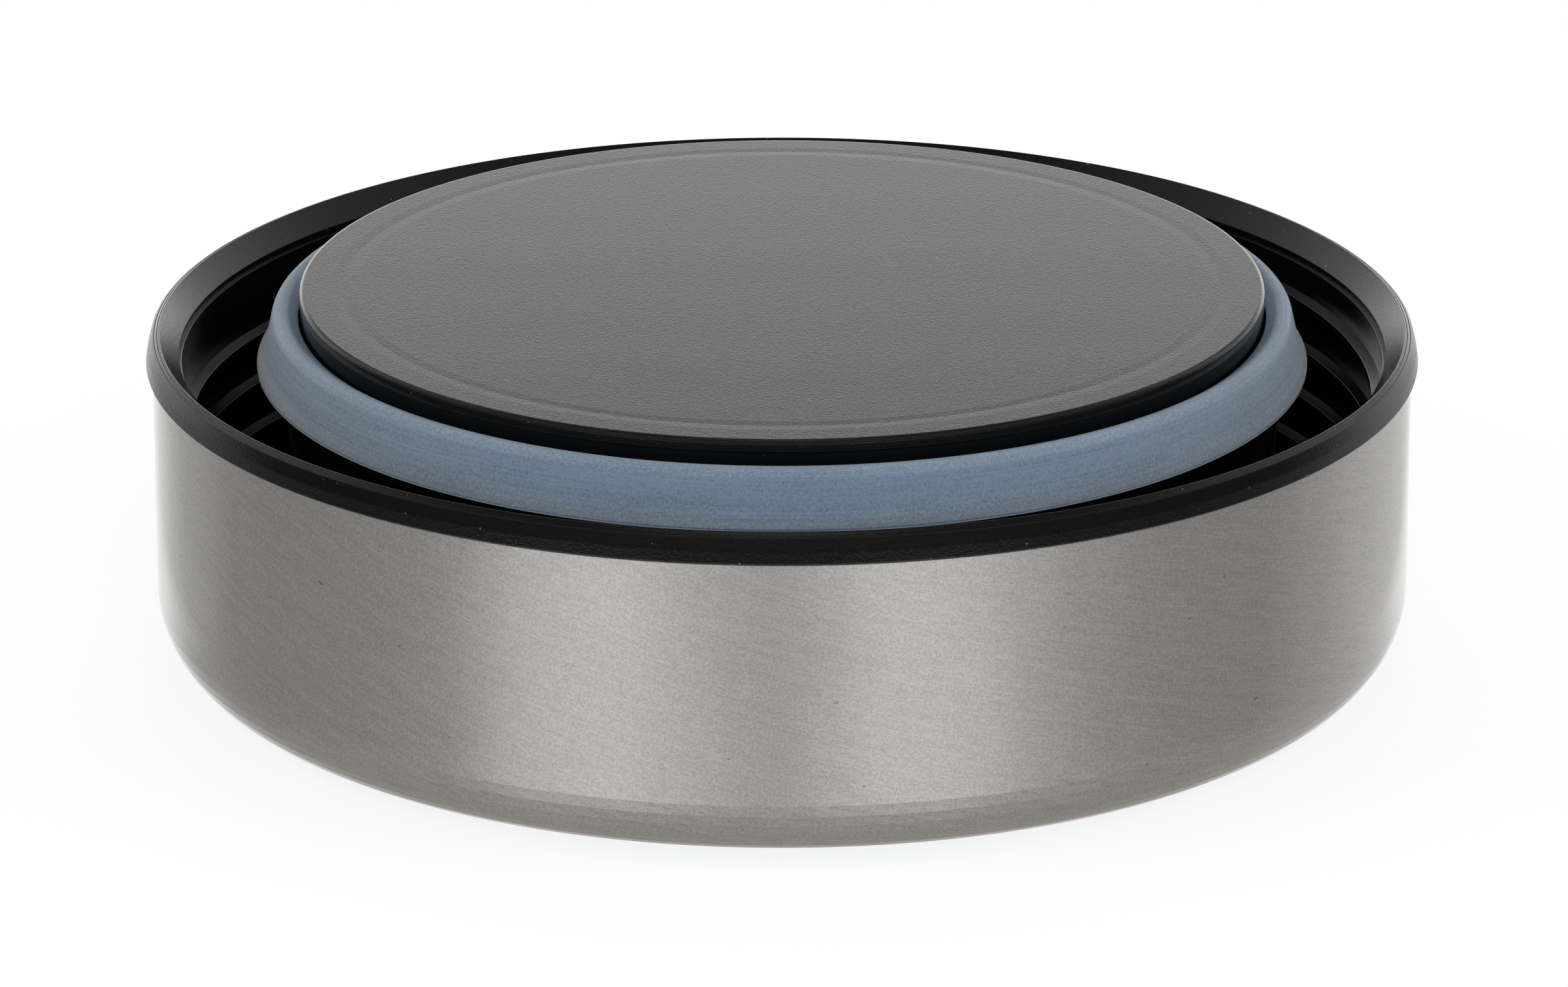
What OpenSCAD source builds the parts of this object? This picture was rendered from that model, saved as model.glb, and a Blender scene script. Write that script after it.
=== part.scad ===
// Screw lid of a wide-mouth insulated food jar, standing on its steel crown with the plug up.
// Millimetres, +Z up. The origin is the centre of the flat steel face that the lid stands on.

/* [Steel shell] */
// Outer diameter of the drawn steel shell
shell_d = 95; // [93:0.5:104]
// Thickness of the steel sheet
shell_wall = 0.6; // [0.4:0.05:0.8]
// Height from the flat crown to the raw edge
shell_h = 23.45; // [21:0.05:32]
// Outer radius of the drawn corner
shell_corner = 6; // [4:0.25:8]

/* [Rim ring] */
// Seam between the shell's raw edge and the ring above it
seam = 0.15; // [0.05:0.05:0.3]
// How far the ring stands out past the shell
ring_proud = 0.5; // [0.2:0.05:0.8]
// Height of the ring's outer band
band_h = 1.9; // [1.2:0.1:3]
// How far the outer band leans in on its way up
band_lean = 0.4; // [0.1:0.05:0.6]
// Width of the rounded shoulder between the band and the crest
shoulder_w = 0.63; // [0.4:0.01:1]
// Height of the crest above the band
crest_rise = 0.3; // [0.1:0.05:0.5]
// Width of the slope inside the crest
slope_w = 1.47; // [1:0.01:2]
// Fall of the slope from the crest to its foot
slope_fall = 1.65; // [1:0.05:1.8]
// Thickness of the ring's hidden skirt
skirt_wall = 0.5; // [0.3:0.05:0.6]
// Length of the ring's hidden skirt
skirt_h = 2.2; // [1:0.1:4]

/* [Thread liner] */
// Clearance between nested round walls
fit = 0.1; // [0.05:0.05:0.2]
// Wall of the liner
liner_wall = 1.5; // [1.2:0.1:2]
// Thickness of the liner's floor
liner_floor = 1.8; // [1.2:0.1:3]
// Radius of the corner between the liner's wall and floor
liner_fillet = 2; // [1:0.25:3]
// Thickness of the rib that centres the plug housing
rib_wall = 0.7; // [0.5:0.1:1]
// Height of the rib that centres the plug housing
rib_h = 2; // [1:0.25:4]

/* [Screw thread] */
// Pitch of the right-hand thread
thread_pitch = 3.85; // [3.6:0.05:4.5]
// Turns of the thread, with its fading ends
thread_turns = 3.6; // [1:0.1:3.9]
// Depth of the thread
thread_depth = 0.8; // [0.4:0.05:1]
// Width of the thread's crest
thread_crest = 0.5; // [0.3:0.05:0.8]
// Fall of the upper flank, from root to crest
thread_top_fall = 0.3; // [0.2:0.05:0.6]
// Fall of the lower flank, from crest to root
thread_foot_fall = 0.8; // [0.4:0.05:1]
// Depth of the thread's start below the slope's foot
thread_start = 2; // [1:0.1:4]

/* [Plug] */
// Radial room for the jar's neck, from the thread's root to the gasket's lip
neck_room = 5.65; // [5.2:0.05:7]
// Height of the disc above the ring's outer band
plug_rise = 3.42; // [2:0.02:5]
// Thickness of the disc
disc_t = 0.92; // [0.8:0.02:1.4]
// Radius of the disc's upper edge
disc_round = 0.35; // [0.1:0.05:0.5]
// Height of the disc's weld rib
weld_rib_h = 1.5; // [0.5:0.1:3]
// Thickness of the disc's weld rib
weld_rib_wall = 0.8; // [0.5:0.1:1.5]
// How far the plug's wall lies back under the disc's edge
plug_recess = 0.1; // [0.05:0.05:0.2]
// Wall of the plug housing
plug_wall = 1.8; // [1.2:0.1:2.5]
// How far the plug's wall below the ledge stands out past the disc
plug_step = 1; // [0.5:0.1:1.5]
// How far the ledge lies back from the edge of the gasket's lip
ledge_back = 0.45; // [0.4:0.05:0.8]
// Thickness of the ledge
ledge_t = 0.65; // [0.5:0.05:1.5]

/* [Gasket] */
// Radial width from the disc's edge to the edge of the gasket's lip
seal_w = 3.25; // [2.9:0.05:3.6]
// Radial gap between the gasket and the plug's wall
gasket_gap = 0.3; // [0.2:0.05:0.4]
// Height from the ledge to the top of the gasket's bead
gasket_h = 4.43; // [4:0.01:5]
// Radius of the gasket's bead
bead_r = 0.9; // [0.7:0.05:1]
// Step from the gasket's bore to its bead
bead_step = 0.14; // [0.05:0.01:0.3]
// Depth of the gasket's inner shoulder below the top of its bead
bead_shoulder = 0.78; // [0.6:0.02:0.9]
// Depth of the bead's top below the disc's top
bead_drop = 1.54; // [1:0.02:2]
// Height of the lip's outer edge
lip_edge = 0.25; // [0.15:0.05:0.4]
// Thickness of the lip at its edge
lip_t = 0.4; // [0.3:0.05:0.5]
// Gap under the lip
lip_gap = 0.1; // [0.05:0.05:0.3]
// Thickness of the gasket's inner web
web_t = 1.1; // [0.8:0.05:1.2]
// Depth of the hollow's top below the top of the bead
hollow_drop = 1.5; // [1.3:0.05:2]

/* [Filling] */
// Thickness of the foam pad behind the steel crown
pad_t = 2.6; // [2:0.1:3]
// Gap round the foam pad, inside the shell's rounded corner
pad_gap = 1.5; // [0.5:0.5:20]
// Gap round the foam block in the plug
foam_gap = 0.6; // [0.3:0.1:2]
// Height of the adhesive band
glue_h = 2; // [1:0.25:4]
// Thickness of the adhesive band
glue_t = 0.5; // [0.3:0.05:0.7]
// Height of the adhesive band's foot above the crown
glue_z = 12; // [9:0.5:14]

/* [Hidden] */
$fn = 180;

// Share of the thread's turns that each end fades over
thread_fade_share = 0.05;
// Direction of the thread's upper end, seen from above, in degrees from +X
thread_start_angle = 90;
// Facets in one turn of the thread
thread_steps = 48;
// How deep the thread's root is sunk in the liner's wall
thread_sink = 0.4;
// How deep the thread's crest is sunk where the thread ends
thread_end_sink = 0.15;
// How far a cut runs past the face that it opens
cut_over = 1;
// How deep the outer line of the gasket's lip starts inside the bead
bead_sink = 0.02;

// Radii of the nested walls
shell_r = shell_d / 2;
liner_r = shell_r - shell_wall - fit;
bore_r = liner_r - liner_wall;
ring_r = shell_r + ring_proud;
band_top_r = ring_r - band_lean;
crest_r = band_top_r - shoulder_w;
slope_foot_r = crest_r - slope_w;
lip_r = bore_r - neck_room;
ledge_r = lip_r - ledge_back;
disc_r = lip_r - seal_w;
plug_r = disc_r + plug_step;
plug_top_r = disc_r - plug_recess;
plug_top_in_r = plug_top_r - plug_wall;
plug_in_r = plug_r - plug_wall;
gasket_bore_r = plug_top_r + gasket_gap;
bead_c = gasket_bore_r + bead_step + bead_r;
pad_r = shell_r - shell_corner - pad_gap;

// Heights above the flat crown
floor_under_z = shell_wall + pad_t;
floor_z = floor_under_z + liner_floor;
ring_z = shell_h + seam;
band_z = ring_z + band_h;
crest_z = band_z + crest_rise;
slope_foot_z = crest_z - slope_fall;
thread_z = slope_foot_z - thread_start;
disc_z = band_z + plug_rise;
weld_z = disc_z - disc_t;
bead_z = disc_z - bead_drop;
ledge_z = bead_z - gasket_h;
lip_z = ledge_z + lip_gap;
lip_top_z = lip_z + lip_edge;
bead_cz = bead_z - bead_r;
hollow_z = bead_z - hollow_drop;

// Upper end of the straight line from the lip's edge, just inside its touching point on the bead
lip_run = lip_r - bead_c;
lip_fall = bead_cz - lip_top_z;
lip_reach = norm([lip_run, lip_fall]);
tangent_angle = asin(bead_r / lip_reach) - atan2(lip_run, lip_fall);
tangent_r = bead_c + (bead_r - bead_sink) * cos(tangent_angle);
tangent_z = bead_cz - (bead_r - bead_sink) * sin(tangent_angle);

// Flat region of a cup's outside or inside, from its axis to its wall
module cup_region(r, corner, top) {
    square([r - corner, top]);
    translate([0, corner]) square([r, top - corner]);
    translate([r - corner, corner]) circle(corner);
}

module steel_shell() {
    color("silver") rotate_extrude() {
        difference() {
            cup_region(shell_r, shell_corner, shell_h);
            translate([0, shell_wall])
                cup_region(shell_r - shell_wall, shell_corner - shell_wall, shell_h);
        }
    }
}

module rim_ring() {
    skirt_r = liner_r;
    color("#1d1d1f") rotate_extrude() {
        polygon([
            [slope_foot_r, ring_z], [ring_r, ring_z], [band_top_r, band_z], [crest_r, crest_z],
            [slope_foot_r, slope_foot_z]
        ]);
        translate([skirt_r - skirt_wall, ring_z - skirt_h]) square([skirt_wall, skirt_h]);
    }
}

// Wall and floor of the liner, with the rebate for the ring's skirt and the groove for the glue
module liner_body() {
    inside_r = shell_r - shell_wall;
    inside_corner = shell_corner - shell_wall;
    rib_r = plug_in_r - fit;
    rebate_r = liner_r - skirt_wall - fit;
    rotate_extrude() {
        difference() {
            intersection() {
                translate([0, shell_wall + fit])
                    cup_region(liner_r, inside_corner - fit, ring_z - shell_wall - fit);
                translate([0, floor_under_z]) square([inside_r, ring_z - floor_under_z]);
            }
            translate([0, floor_z]) cup_region(bore_r, liner_fillet, ring_z);
            translate([rebate_r, ring_z - skirt_h - fit]) square([liner_wall, skirt_h + cut_over]);
            translate([liner_r - glue_t, glue_z]) square([glue_t + cut_over, glue_h]);
        }
        translate([rib_r - rib_wall, floor_under_z]) square([rib_wall, liner_floor + rib_h]);
    }
}

// Four corners of the thread's section at one step, from the sunk root round the crest
function thread_section(i, steps) =
    let (
        fade = thread_fade_share * steps,
        grown = min(1, i / fade, (steps - i) / fade),
        depth = grown * (thread_depth + thread_end_sink) - thread_end_sink,
        angle = thread_start_angle - 360 * i / thread_steps,
        z = thread_z - thread_pitch * i / thread_steps,
        root = bore_r + thread_sink,
        crest = bore_r - depth
    )
    [
        for (p = [
            [root, z],
            [crest, z - thread_top_fall],
            [crest, z - thread_top_fall - thread_crest],
            [root, z - thread_top_fall - thread_crest - thread_foot_fall]
        ])
        [p[0] * cos(angle), p[0] * sin(angle), p[1]]
    ];

module thread_ridge() {
    steps = round(thread_turns * thread_steps);
    last = 4 * steps;
    points = [for (i = [0 : steps]) each thread_section(i, steps)];
    sides = [
        for (i = [0 : steps - 1], k = [0 : 3])
        let (a = 4 * i + k, b = 4 * i + (k + 1) % 4)
        each [[a, a + 4, b], [b, a + 4, b + 4]]
    ];
    ends = [[0, 1, 2], [0, 2, 3], [last, last + 2, last + 1], [last, last + 3, last + 2]];
    polyhedron(points, concat(sides, ends));
}

module thread_liner() {
    color("#141416") {
        liner_body();
        thread_ridge();
    }
}

module plug_housing() {
    step_z = ledge_z - ledge_t - plug_wall;
    color("#121214") rotate_extrude() {
        difference() {
            union() {
                translate([0, floor_z]) square([plug_r, ledge_z - floor_z]);
                translate([0, ledge_z - ledge_t]) square([ledge_r, ledge_t]);
                translate([0, floor_z]) square([plug_top_r, weld_z - floor_z]);
            }
            translate([0, floor_z - cut_over]) square([plug_in_r, step_z - floor_z + cut_over]);
            translate([0, floor_z]) square([plug_top_in_r, disc_z - floor_z]);
        }
    }
}

module plug_disc() {
    rib_r = plug_top_in_r - fit;
    color("#26262a") rotate_extrude() {
        translate([0, weld_z]) {
            square([disc_r - disc_round, disc_t]);
            square([disc_r, disc_t - disc_round]);
        }
        translate([disc_r - disc_round, disc_z - disc_round]) circle(disc_round);
        translate([rib_r - weld_rib_wall, weld_z - weld_rib_h])
            square([weld_rib_wall, weld_rib_h + disc_t / 2]);
    }
}

module gasket() {
    web_r = gasket_bore_r + web_t;
    lip_in_r = lip_r - lip_t;
    shoulder_z = bead_z - bead_shoulder;
    color("#8ea2b4") rotate_extrude() {
        translate([bead_c, bead_cz]) circle(bead_r);
        translate([gasket_bore_r, ledge_z]) square([web_t, shoulder_z - ledge_z]);
        polygon([
            [bead_c, bead_cz], [web_r, hollow_z], [lip_in_r, lip_z], [lip_r, lip_z],
            [lip_r, lip_top_z], [tangent_r, tangent_z]
        ]);
    }
}

module plug_foam() {
    foam_r = plug_top_in_r - fit - weld_rib_wall - foam_gap;
    color("ivory") translate([0, 0, floor_z]) cylinder(r = foam_r, h = weld_z - floor_z);
}

module crown_pad() {
    color("ivory") translate([0, 0, shell_wall]) cylinder(r = pad_r, h = pad_t);
}

module shell_glue() {
    color("khaki") translate([0, 0, glue_z]) rotate_extrude()
        translate([liner_r - glue_t, 0]) square([glue_t + fit / 2, glue_h]);
}

steel_shell();
rim_ring();
thread_liner();
plug_housing();
plug_disc();
gasket();
plug_foam();
crown_pad();
shell_glue();
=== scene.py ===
"""The finished look of an insulated food jar's screw lid, lying upside down on its steel crown."""

import math

import bmesh
import bpy
from bpy.props import FloatProperty, FloatVectorProperty, IntProperty, PointerProperty
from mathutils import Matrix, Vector


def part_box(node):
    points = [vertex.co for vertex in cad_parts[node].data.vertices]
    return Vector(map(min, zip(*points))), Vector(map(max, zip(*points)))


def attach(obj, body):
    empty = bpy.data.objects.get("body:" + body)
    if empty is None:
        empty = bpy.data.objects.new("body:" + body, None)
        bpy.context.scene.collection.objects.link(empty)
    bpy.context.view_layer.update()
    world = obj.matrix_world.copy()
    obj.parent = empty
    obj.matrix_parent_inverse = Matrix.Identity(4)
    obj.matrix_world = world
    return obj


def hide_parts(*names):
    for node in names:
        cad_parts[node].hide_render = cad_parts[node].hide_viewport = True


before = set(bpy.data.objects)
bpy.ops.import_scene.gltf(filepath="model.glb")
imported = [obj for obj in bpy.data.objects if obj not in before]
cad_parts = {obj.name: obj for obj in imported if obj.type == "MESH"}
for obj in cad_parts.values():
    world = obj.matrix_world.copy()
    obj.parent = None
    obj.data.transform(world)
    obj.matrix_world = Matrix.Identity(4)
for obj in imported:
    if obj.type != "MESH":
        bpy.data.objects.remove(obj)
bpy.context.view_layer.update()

bl_info = {
    "name": "Insulated Jar Lid",
    "version": (1, 0, 0),
    "blender": (4, 5, 0),
    "location": "View3D > Sidebar > Jar Lid",
    "description": "Builds the lid of an insulated food jar with its finishes, and a plain studio round it",
    "category": "Object",
}

MM = 0.001

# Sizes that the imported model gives
SHELL_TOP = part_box("steel_shell")[1]
RING_LOW, RING_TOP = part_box("rim_ring")
LINER_LOW, LINER_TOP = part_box("thread_liner")
HOUSING_LOW, HOUSING_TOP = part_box("plug_housing")
DISC_LOW, DISC_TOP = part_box("plug_disc")
SEAL_LOW, SEAL_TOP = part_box("gasket")

# How finely the turned pieces are divided
TURN_STEPS = 360
ARC_STEP = math.radians(9)
# The share of a straight side that the arc at one of its ends may take
SIDE_SHARE = 0.49
# How close to its ends a straight stretch has its extra points, and from what length it has them
EDGE_SUPPORT = 0.02 * MM
SUPPORTED_RUN = 4 * EDGE_SUPPORT
# Nearer to the axis than this, a point lies on it
ON_AXIS = 0.001 * MM
# Edges between faces at more than this angle are shaded as sharp
SHARP_ANGLE = math.radians(35)
# The thread starts on the side away from the camera
THREAD_START = math.pi / 2
# How wide the moulding ripple's curves are, as a multiple of the ripple's half width
RIPPLE_CURVE = 12
# Where the fine lines lie on the ring's shoulder, as shares of its width from the band to the crest
SHOULDER_LINES = (0.35, 0.72)


def length(name, description, millimetres):
    """A length in metres, whose default is given in millimetres."""
    return FloatProperty(
        name=name, description=description, default=millimetres * MM, min=0, max=1,
        precision=5, unit="LENGTH", subtype="DISTANCE",
    )


def colour(name, description, red, green, blue):
    """A linear colour."""
    return FloatVectorProperty(
        name=name, description=description, default=(red, green, blue), min=0, max=1,
        size=3, subtype="COLOR",
    )


def share(name, description, value, top=1):
    """A plain number from 0 to its top."""
    return FloatProperty(name=name, description=description, default=value, min=0, max=top)


class ShellSizes(bpy.types.PropertyGroup):
    """Sizes of the steel shell that its box doesn't give."""

    wall: length("Sheet", "Thickness of the steel sheet", 0.6)
    corner: length("Corner", "Outer radius of the drawn corner", 6)
    edge: length("Edge", "Radius of the trimmed edge under the ring", 0.1)


class RingSizes(bpy.types.PropertyGroup):
    """Sizes of the rim ring that its box doesn't give."""

    band_h: length("Band height", "Height of the outer band", 1.9)
    band_lean: length("Band lean", "How far the band leans in on its way up", 0.4)
    band_swell: length("Band swell", "How far the middle of the band bulges out", 0.05)
    shoulder_w: length("Shoulder", "Width of the shoulder between band and crest", 0.63)
    slope_w: length("Slope width", "Width of the slope inside the crest", 1.47)
    slope_fall: length("Slope fall", "Fall of the slope from crest to foot", 1.65)
    skirt_wall: length("Skirt", "Thickness of the hidden skirt", 0.5)
    skirt_out: length("Skirt radius", "How far the skirt lies in from the band's foot", 1.2)
    line_w: length("Line width", "Half the width of the fine lines on the shoulder", 0.03)
    line_d: length("Line depth", "Depth of the fine lines on the shoulder", 0.05)
    foot_round: length("Foot radius", "Radius of the band's lower edge", 0.08)
    shoulder_round: length("Shoulder radius", "Radius between band and shoulder", 0.18)
    crest_round: length("Crest radius", "Radius of the crest", 0.13)


class LinerSizes(bpy.types.PropertyGroup):
    """Sizes of the thread liner that its box doesn't give."""

    wall: length("Wall", "Thickness of the wall", 1.5)
    floor: length("Floor", "Thickness of the floor", 1.8)
    fillet: length("Fillet", "Radius between wall and floor", 2)
    heel: length("Heel", "Radius of the outer lower corner", 5.3)
    heel_cut: length("Heel cut", "How much of that corner the floor cuts off", 2.5)
    rebate_w: length("Rebate width", "Depth of the rebate behind the ring's skirt", 0.6)
    rebate_h: length("Rebate height", "Height of that rebate", 2.3)
    groove_z: length("Groove place", "Height of the adhesive groove's foot", 12)
    groove_h: length("Groove height", "Height of the adhesive groove", 2)
    groove_w: length("Groove depth", "Depth of the adhesive groove", 0.5)
    rib_r: length("Rib radius", "Outer radius of the rib that centres the plug", 35.5)
    rib_wall: length("Rib wall", "Thickness of that rib", 0.7)
    rib_h: length("Rib height", "Height of that rib above the floor", 2)
    edge: length("Edge", "Radius of the mouth's edge", 0.05)


class ThreadSizes(bpy.types.PropertyGroup):
    """Sizes of the inner screw thread."""

    pitch: length("Pitch", "Pitch of the right-hand thread", 3.85)
    turns: share("Turns", "Turns of the thread with its fading ends", 3.6, top=8)
    depth: length("Depth", "Depth of the thread", 0.8)
    crest: length("Crest", "Width of the thread's crest", 0.5)
    top_fall: length("Upper flank", "Fall of the upper flank from root to crest", 0.3)
    foot_fall: length("Lower flank", "Fall of the lower flank from crest to root", 0.8)
    drop: length("Start", "Depth of the thread's start under the liner's mouth", 1.45)
    round: length("Crest radius", "Radius of the crest's edges", 0.09)
    sink: length("Sink", "How deep the root lies in the wall", 0.4)
    end_sink: length("End sink", "How deep the crest lies in the wall at the ends", 0.15)
    fade: share("Fade", "Share of the turns over which an end fades", 0.05)
    steps: IntProperty(name="Steps", description="Steps in one turn", default=240, min=24)


class PlugSizes(bpy.types.PropertyGroup):
    """Sizes of the plug housing and its disc that their boxes don't give."""

    disc_t: length("Disc", "Thickness of the disc", 0.92)
    disc_round: length("Disc edge", "Radius of the disc's upper edge", 0.35)
    disc_heel: length("Disc heel", "Radius of the disc's lower edge", 0.1)
    weld_r: length("Weld rib", "Outer radius of the disc's weld rib", 34.4)
    weld_wall: length("Weld rib wall", "Thickness of the weld rib", 0.8)
    sink_in: length("Ripple place", "How far the moulding ripple lies in from the edge", 3.3)
    sink_w: length("Ripple width", "Half the width of the moulding ripple", 0.9)
    sink_d: length("Ripple depth", "Depth of the moulding ripple", 0.0075)
    recess: length("Recess", "How far the wall lies back under the disc's edge", 0.1)
    wall: length("Wall", "Thickness of the housing's wall", 1.8)
    step: length("Step", "How far the lower wall stands out past the disc", 1)
    ledge_t: length("Ledge", "Thickness of the seal's ledge", 0.65)
    edge: length("Edge", "Radius of the moulded edges", 0.15)


class SealSizes(bpy.types.PropertyGroup):
    """Sizes of the silicone seal that its box doesn't give."""

    gap: length("Gap", "Gap between the seal and the plug's wall", 0.2)
    bead_r: length("Bead", "Radius of the round bead", 0.9)
    bead_step: length("Bead step", "Step from the bore to the bead", 0.24)
    bead_in: length("Bead inside", "From the bead's middle in to the edge of its inner slope", 0.42)
    shoulder: length("Shoulder", "Depth of the inner slope's foot below the bead's top", 0.6)
    waist_in: length("Waist", "How far the waist above the lip lies in from the lip", 0.61)
    waist_rise: length("Waist height", "Height of that waist above the seal's foot", 1.35)
    waist_round: length("Waist radius", "Radius of that waist", 3)
    web: length("Web", "Thickness of the inner web", 1.1)
    hollow: length("Hollow", "Depth of the hollow's top below the bead's top", 1.5)
    lip_gap: length("Lip gap", "Gap under the lip", 0.1)
    lip_edge: length("Lip edge", "Height of the lip's outer edge", 0.25)
    lip_t: length("Lip", "Thickness of the lip at its edge", 0.4)
    edge: length("Edge", "Radius of the moulded edges", 0.08)


class Finishes(bpy.types.PropertyGroup):
    """Colours and gloss of the surfaces."""

    steel_dark: colour("Steel, dark", "Steel in the brush marks", 0.49, 0.48, 0.466)
    steel_light: colour("Steel, light", "Steel between the brush marks", 0.69, 0.677, 0.658)
    steel_rough: share("Steel roughness", "Mean roughness of the brushed steel", 0.38)
    steel_brush: share("Steel brushing", "How much the brushing stretches reflections", 0.75)
    ring: colour("Ring", "Matte plastic of the rim ring", 0.0025, 0.0024, 0.0024)
    liner: colour("Liner", "Gloss plastic of the thread liner", 0.0024, 0.0024, 0.0024)
    plug: colour("Plug", "Gloss plastic of the plug housing", 0.0026, 0.0026, 0.003)
    disc: colour("Disc", "Gloss plastic of the disc", 0.0065, 0.0063, 0.006)
    silicone: colour("Silicone", "Translucent silicone of the seal", 0.194, 0.234, 0.287)
    # Doubled, the lip's tone is also the painted pale highlight on the lip's edge
    silicone_low: colour("Silicone, lip", "The seal's silicone low on its lip", 0.184, 0.203, 0.23)
    foam: colour("Foam", "Insulating foam", 0.80, 0.78, 0.70)
    glue: colour("Adhesive", "Hot-melt adhesive", 0.62, 0.52, 0.30)


class StageSettings(bpy.types.PropertyGroup):
    """The camera's place and the light."""

    elevation: FloatProperty(
        name="Elevation", description="The camera's height above the horizon, seen from the aim",
        default=math.radians(18.404), unit="ROTATION", subtype="ANGLE",
    )
    distance: length("Distance", "From the aim to the camera", 697.5)
    aim_z: length("Aim", "Height of the aim on the lid's axis", 25.5)
    fill: share("Fill light", "Even light from all round on matte surfaces", 0.5)
    lamps: share("Lamps", "Light of the softboxes together on a level surface", 0.6, top=4)
    floor_white: share("Floor white", "Share of plain white in the floor that the camera sees", 0.85)


class LidSettings(bpy.types.PropertyGroup):
    """Everything about the lid and its stage that can be changed."""

    shell: PointerProperty(type=ShellSizes)
    ring: PointerProperty(type=RingSizes)
    liner: PointerProperty(type=LinerSizes)
    thread: PointerProperty(type=ThreadSizes)
    plug: PointerProperty(type=PlugSizes)
    seal: PointerProperty(type=SealSizes)
    finishes: PointerProperty(type=Finishes)
    stage: PointerProperty(type=StageSettings)


# Turned shapes

def rounded(corners):
    """An outline through the corners (r, z, radius), with an arc of that radius at each."""
    points = []
    for i, (r, z, radius) in enumerate(corners):
        corner = Vector((r, z))
        if radius == 0:
            points.append(corner)
            continue
        before = Vector(corners[i - 1][:2]) - corner
        after = Vector(corners[(i + 1) % len(corners)][:2]) - corner
        half = before.angle(after) / 2
        reach = min(radius / math.tan(half), SIDE_SHARE * min(before.length, after.length))
        start = corner + before.normalized() * reach
        end = corner + after.normalized() * reach
        inward = (before.normalized() + after.normalized()).normalized()
        centre = corner + inward * (reach / math.cos(half))
        points += arc(centre, start, end)
    return points


def arc(centre, start, end):
    """Points of the shorter arc round a centre, from its start to its end."""
    first, last = start - centre, end - centre
    turn = math.atan2(first.x * last.y - first.y * last.x, first.dot(last))
    steps = max(2, math.ceil(abs(turn) / ARC_STEP))
    begin = math.atan2(first.y, first.x)
    angles = [begin + turn * k / steps for k in range(steps + 1)]
    return [centre + first.length * Vector((math.cos(a), math.sin(a))) for a in angles]


def supported(points, closed):
    """The outline with a point close to both ends of each straight stretch, to keep its shading flat."""
    after = points[1:] + points[:1] if closed else points[1:]
    held = []
    for start, end in zip(points, after):
        run = end - start
        held.append(start)
        if run.length > SUPPORTED_RUN:
            step = run.normalized() * EDGE_SUPPORT
            held += [start + step, end - step]
    return held if closed else held + [points[-1]]


def turn_outline(mesh, points, closed=True):
    """Turns an outline round the Z axis. One that isn't closed starts and ends on the axis."""
    rings = []
    for r, z in supported(points, closed):
        if r < ON_AXIS:
            rings.append([mesh.verts.new((0, 0, z))] * TURN_STEPS)
            continue
        angles = [math.tau * i / TURN_STEPS for i in range(TURN_STEPS)]
        rings.append([mesh.verts.new((r * math.cos(a), r * math.sin(a), z)) for a in angles])
    after = rings[1:] + rings[:1] if closed else rings[1:]
    for low, high in zip(rings, after):
        for i in range(TURN_STEPS):
            j = (i + 1) % TURN_STEPS
            corners = dict.fromkeys((low[i], low[j], high[j], high[i]))
            if len(corners) > 2:
                mesh.faces.new(tuple(corners))


def sweep_thread(mesh, sizes, root_r, top_z):
    """The thread as a closed ridge that winds down the wall, with its root sunk in the wall."""
    flank_z = -sizes.top_fall - sizes.crest
    out = sizes.sink + sizes.depth
    section = rounded([
        (0, 0, 0), (out, -sizes.top_fall, sizes.round), (out, flank_z, sizes.round),
        (0, flank_z - sizes.foot_fall, 0),
    ])
    steps = round(sizes.turns * sizes.steps)
    fade = sizes.fade * steps
    rows = []
    for i in range(steps + 1):
        grown = min(1, i / fade, (steps - i) / fade)
        depth = grown * (sizes.depth + sizes.end_sink) - sizes.end_sink
        reach = (sizes.sink + depth) / out
        angle = THREAD_START - math.tau * i / sizes.steps
        z = top_z - sizes.pitch * i / sizes.steps
        row = []
        for inward, drop in section:
            r = root_r + sizes.sink - inward * reach
            row.append(mesh.verts.new((r * math.cos(angle), r * math.sin(angle), z + drop)))
        rows.append(row)
    for row, following in zip(rows, rows[1:]):
        for k in range(len(section)):
            m = (k + 1) % len(section)
            mesh.faces.new((row[k], row[m], following[m], following[k]))
    mesh.faces.new(rows[0])
    mesh.faces.new(rows[-1])


def add_piece(name, mesh, material, slot, body, *nodes):
    """Makes an object of the mesh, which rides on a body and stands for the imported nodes."""
    bmesh.ops.recalc_face_normals(mesh, faces=mesh.faces)
    data = bpy.data.meshes.new(name)
    mesh.to_mesh(data)
    mesh.free()
    data.polygons.foreach_set("use_smooth", [True] * len(data.polygons))
    data.set_sharp_from_angle(angle=SHARP_ANGLE)
    data.materials.append(material)
    piece = bpy.data.objects.new(name, data)
    bpy.context.scene.collection.objects.link(piece)
    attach(piece, body)
    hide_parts(*nodes)
    return piece


# Materials

# Cells of noise in a millimetre, from the finest grain to the broadest clouds
SILK_GRAIN = 7
FINE_GRAIN = 6
MATTE_GRAIN = 5
FINE_DUST = 3.1
COARSE_DUST = 1.7
BUBBLES = 1.2
BEADS = 0.4
CLOUDS = 0.2
# Values of noise between which its few highest places stand out as marks
SCRATCHES = (0.69, 0.76)
SPECKS = (0.78, 0.82)
SPARSE_DUST = (0.84, 0.87)
# Brush marks: their rise along the wall, and the half width in mm of the strip where the marks of
# the front go over into those of the back
BRUSH_SLANT = 0.28
BRUSH_SEAM = 8
# Places in the noise that lie so far apart that the finer and broader marks don't repeat each other
BROAD_PLACE, SCRATCH_PLACE = 7.0, 31.0
# Heights in mm on the seal: the lip's edge with its painted pale highlight, the greyer zone above it,
# painted darker, and the bead's crown with its painted shade
LIP_HIGHLIGHT_LOW, LIP_HIGHLIGHT_HIGH = 0.18, 0.26
LIP_ZONE = 2.5
CROWN_SHADE_ZONE = 0.9
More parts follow.
